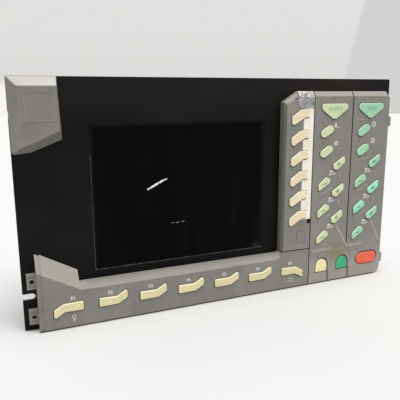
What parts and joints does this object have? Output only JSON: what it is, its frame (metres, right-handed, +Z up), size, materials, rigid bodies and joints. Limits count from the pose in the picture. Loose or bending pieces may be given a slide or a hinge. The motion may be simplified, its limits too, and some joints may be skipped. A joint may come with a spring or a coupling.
{
  "type": "cnc operator panel",
  "caption": "Rack-mounting machine operator panel: a black plate with a display window, raised grey plastic covers, sprung coloured keys and a sheet metal rear case.",
  "frame": {"origin": "centre of the bounding box in x and y, at the level of the surface that the panel stands on", "axes": "+X to the right as the operator sees the panel, +Z up, and the keys and the display face -Y"},
  "size_m": [0.4826, 0.1008, 0.2659],
  "materials": {
    "plate_black": "satin black paint on sheet metal",
    "window_black": "glossy smoked filter",
    "cover_grey": "fine grained moulded plastic, warm grey",
    "label_white": "plain off-white strip",
    "key_cream": "satin moulded key, cream",
    "key_straw": "satin moulded key, straw yellow",
    "key_pale_green": "satin moulded key, pale green",
    "key_mint": "satin moulded key, mint green",
    "key_green": "satin moulded key, green",
    "key_red": "satin moulded key, orange red",
    "board_green": "green circuit board",
    "rubber_grey": "soft contact mat",
    "zinc_sheet": "zinc plated sheet steel",
    "steel_bright": "bright plated steel",
    "supply_case": "bare folded case",
    "display_glass": "dark display face in a module",
    "ribbon_grey": "flat grey cable",
    "terminal_green": "green terminal housing",
    "board_blue": "blue circuit board"
  },
  "bodies": {
    "panel": {"front_plate": "plate_black", "display_filter": "window_black", "corner_cap": "cover_grey", "function_key_bezel": "cover_grey", "softkey_bezel": "cover_grey", "machine_key_cover": "cover_grey", "label_strip": "label_white", "display_key_board": "board_green", "display_key_mat": "rubber_grey", "machine_key_board": "board_green", "machine_key_mat": "rubber_grey", "display_bracket": "zinc_sheet", "display_module": "display_glass", "main_board": "board_green", "power_supply": "supply_case", "rear_chassis": "zinc_sheet", "rear_cover": "zinc_sheet", "power_connector": "terminal_green", "serial_connector": "steel_bright", "io_connector": "steel_bright", "display_key_ribbon": "ribbon_grey", "machine_key_ribbon": "ribbon_grey", "backlight_inverter": "board_blue", "earth_stud": "steel_bright", "rear_cover_screw_left": "steel_bright", "rear_cover_screw_right": "steel_bright"},
    "softkey_1_body": {"softkey_1": "key_cream"},
    "softkey_2_body": {"softkey_2": "key_cream"},
    "softkey_3_body": {"softkey_3": "key_cream"},
    "softkey_4_body": {"softkey_4": "key_cream"},
    "softkey_5_body": {"softkey_5": "key_cream"},
    "softkey_6_body": {"softkey_6": "key_cream"},
    "function_key_1_body": {"function_key_1": "key_straw"},
    "function_key_2_body": {"function_key_2": "key_straw"},
    "function_key_3_body": {"function_key_3": "key_straw"},
    "function_key_4_body": {"function_key_4": "key_straw"},
    "function_key_5_body": {"function_key_5": "key_straw"},
    "function_key_6_body": {"function_key_6": "key_straw"},
    "function_key_7_body": {"function_key_7": "key_straw"},
    "manual_mode_key_body": {"manual_mode_key": "key_pale_green"},
    "manual_select_key_1_body": {"manual_select_key_1": "key_pale_green"},
    "manual_select_key_2_body": {"manual_select_key_2": "key_pale_green"},
    "manual_plus_key_1_body": {"manual_plus_key_1": "key_pale_green"},
    "manual_minus_key_1_body": {"manual_minus_key_1": "key_pale_green"},
    "manual_plus_key_2_body": {"manual_plus_key_2": "key_pale_green"},
    "manual_minus_key_2_body": {"manual_minus_key_2": "key_pale_green"},
    "manual_plus_key_3_body": {"manual_plus_key_3": "key_pale_green"},
    "manual_minus_key_3_body": {"manual_minus_key_3": "key_pale_green"},
    "auto_mode_key_body": {"auto_mode_key": "key_mint"},
    "auto_select_key_1_body": {"auto_select_key_1": "key_mint"},
    "auto_select_key_2_body": {"auto_select_key_2": "key_mint"},
    "auto_plus_key_1_body": {"auto_plus_key_1": "key_mint"},
    "auto_minus_key_1_body": {"auto_minus_key_1": "key_mint"},
    "auto_plus_key_2_body": {"auto_plus_key_2": "key_mint"},
    "auto_minus_key_2_body": {"auto_minus_key_2": "key_mint"},
    "auto_plus_key_3_body": {"auto_plus_key_3": "key_mint"},
    "auto_minus_key_3_body": {"auto_minus_key_3": "key_mint"},
    "cycle_key_body": {"cycle_key": "key_cream"},
    "start_key_body": {"start_key": "key_green"},
    "stop_key_body": {"stop_key": "key_red"}
  },
  "joints": [
    {"name": "softkey_1_press", "type": "slide", "parent": "panel", "child": "softkey_1_body", "axis": [0, 1, 0], "range_m": [0, 0.0015], "stiffness_N_per_m": 600},
    {"name": "softkey_2_press", "type": "slide", "parent": "panel", "child": "softkey_2_body", "axis": [0, 1, 0], "range_m": [0, 0.0015], "stiffness_N_per_m": 600},
    {"name": "softkey_3_press", "type": "slide", "parent": "panel", "child": "softkey_3_body", "axis": [0, 1, 0], "range_m": [0, 0.0015], "stiffness_N_per_m": 600},
    {"name": "softkey_4_press", "type": "slide", "parent": "panel", "child": "softkey_4_body", "axis": [0, 1, 0], "range_m": [0, 0.0015], "stiffness_N_per_m": 600},
    {"name": "softkey_5_press", "type": "slide", "parent": "panel", "child": "softkey_5_body", "axis": [0, 1, 0], "range_m": [0, 0.0015], "stiffness_N_per_m": 600},
    {"name": "softkey_6_press", "type": "slide", "parent": "panel", "child": "softkey_6_body", "axis": [0, 1, 0], "range_m": [0, 0.0015], "stiffness_N_per_m": 600},
    {"name": "function_key_1_press", "type": "slide", "parent": "panel", "child": "function_key_1_body", "axis": [0, 1, 0], "range_m": [0, 0.0015], "stiffness_N_per_m": 600},
    {"name": "function_key_2_press", "type": "slide", "parent": "panel", "child": "function_key_2_body", "axis": [0, 1, 0], "range_m": [0, 0.0015], "stiffness_N_per_m": 600},
    {"name": "function_key_3_press", "type": "slide", "parent": "panel", "child": "function_key_3_body", "axis": [0, 1, 0], "range_m": [0, 0.0015], "stiffness_N_per_m": 600},
    {"name": "function_key_4_press", "type": "slide", "parent": "panel", "child": "function_key_4_body", "axis": [0, 1, 0], "range_m": [0, 0.0015], "stiffness_N_per_m": 600},
    {"name": "function_key_5_press", "type": "slide", "parent": "panel", "child": "function_key_5_body", "axis": [0, 1, 0], "range_m": [0, 0.0015], "stiffness_N_per_m": 600},
    {"name": "function_key_6_press", "type": "slide", "parent": "panel", "child": "function_key_6_body", "axis": [0, 1, 0], "range_m": [0, 0.0015], "stiffness_N_per_m": 600},
    {"name": "function_key_7_press", "type": "slide", "parent": "panel", "child": "function_key_7_body", "axis": [0, 1, 0], "range_m": [0, 0.0015], "stiffness_N_per_m": 600},
    {"name": "manual_mode_key_press", "type": "slide", "parent": "panel", "child": "manual_mode_key_body", "axis": [0, 1, 0], "range_m": [0, 0.0015], "stiffness_N_per_m": 600},
    {"name": "manual_select_key_1_press", "type": "slide", "parent": "panel", "child": "manual_select_key_1_body", "axis": [0, 1, 0], "range_m": [0, 0.0015], "stiffness_N_per_m": 600},
    {"name": "manual_select_key_2_press", "type": "slide", "parent": "panel", "child": "manual_select_key_2_body", "axis": [0, 1, 0], "range_m": [0, 0.0015], "stiffness_N_per_m": 600},
    {"name": "manual_plus_key_1_press", "type": "slide", "parent": "panel", "child": "manual_plus_key_1_body", "axis": [0, 1, 0], "range_m": [0, 0.0015], "stiffness_N_per_m": 600},
    {"name": "manual_minus_key_1_press", "type": "slide", "parent": "panel", "child": "manual_minus_key_1_body", "axis": [0, 1, 0], "range_m": [0, 0.0015], "stiffness_N_per_m": 600},
    {"name": "manual_plus_key_2_press", "type": "slide", "parent": "panel", "child": "manual_plus_key_2_body", "axis": [0, 1, 0], "range_m": [0, 0.0015], "stiffness_N_per_m": 600},
    {"name": "manual_minus_key_2_press", "type": "slide", "parent": "panel", "child": "manual_minus_key_2_body", "axis": [0, 1, 0], "range_m": [0, 0.0015], "stiffness_N_per_m": 600},
    {"name": "manual_plus_key_3_press", "type": "slide", "parent": "panel", "child": "manual_plus_key_3_body", "axis": [0, 1, 0], "range_m": [0, 0.0015], "stiffness_N_per_m": 600},
    {"name": "manual_minus_key_3_press", "type": "slide", "parent": "panel", "child": "manual_minus_key_3_body", "axis": [0, 1, 0], "range_m": [0, 0.0015], "stiffness_N_per_m": 600},
    {"name": "auto_mode_key_press", "type": "slide", "parent": "panel", "child": "auto_mode_key_body", "axis": [0, 1, 0], "range_m": [0, 0.0015], "stiffness_N_per_m": 600},
    {"name": "auto_select_key_1_press", "type": "slide", "parent": "panel", "child": "auto_select_key_1_body", "axis": [0, 1, 0], "range_m": [0, 0.0015], "stiffness_N_per_m": 600},
    {"name": "auto_select_key_2_press", "type": "slide", "parent": "panel", "child": "auto_select_key_2_body", "axis": [0, 1, 0], "range_m": [0, 0.0015], "stiffness_N_per_m": 600},
    {"name": "auto_plus_key_1_press", "type": "slide", "parent": "panel", "child": "auto_plus_key_1_body", "axis": [0, 1, 0], "range_m": [0, 0.0015], "stiffness_N_per_m": 600},
    {"name": "auto_minus_key_1_press", "type": "slide", "parent": "panel", "child": "auto_minus_key_1_body", "axis": [0, 1, 0], "range_m": [0, 0.0015], "stiffness_N_per_m": 600},
    {"name": "auto_plus_key_2_press", "type": "slide", "parent": "panel", "child": "auto_plus_key_2_body", "axis": [0, 1, 0], "range_m": [0, 0.0015], "stiffness_N_per_m": 600},
    {"name": "auto_minus_key_2_press", "type": "slide", "parent": "panel", "child": "auto_minus_key_2_body", "axis": [0, 1, 0], "range_m": [0, 0.0015], "stiffness_N_per_m": 600},
    {"name": "auto_plus_key_3_press", "type": "slide", "parent": "panel", "child": "auto_plus_key_3_body", "axis": [0, 1, 0], "range_m": [0, 0.0015], "stiffness_N_per_m": 600},
    {"name": "auto_minus_key_3_press", "type": "slide", "parent": "panel", "child": "auto_minus_key_3_body", "axis": [0, 1, 0], "range_m": [0, 0.0015], "stiffness_N_per_m": 600},
    {"name": "cycle_key_press", "type": "slide", "parent": "panel", "child": "cycle_key_body", "axis": [0, 1, 0], "range_m": [0, 0.0015], "stiffness_N_per_m": 600},
    {"name": "start_key_press", "type": "slide", "parent": "panel", "child": "start_key_body", "axis": [0, 1, 0], "range_m": [0, 0.0015], "stiffness_N_per_m": 600},
    {"name": "stop_key_press", "type": "slide", "parent": "panel", "child": "stop_key_body", "axis": [0, 1, 0], "range_m": [0, 0.0015], "stiffness_N_per_m": 600}
  ]
}
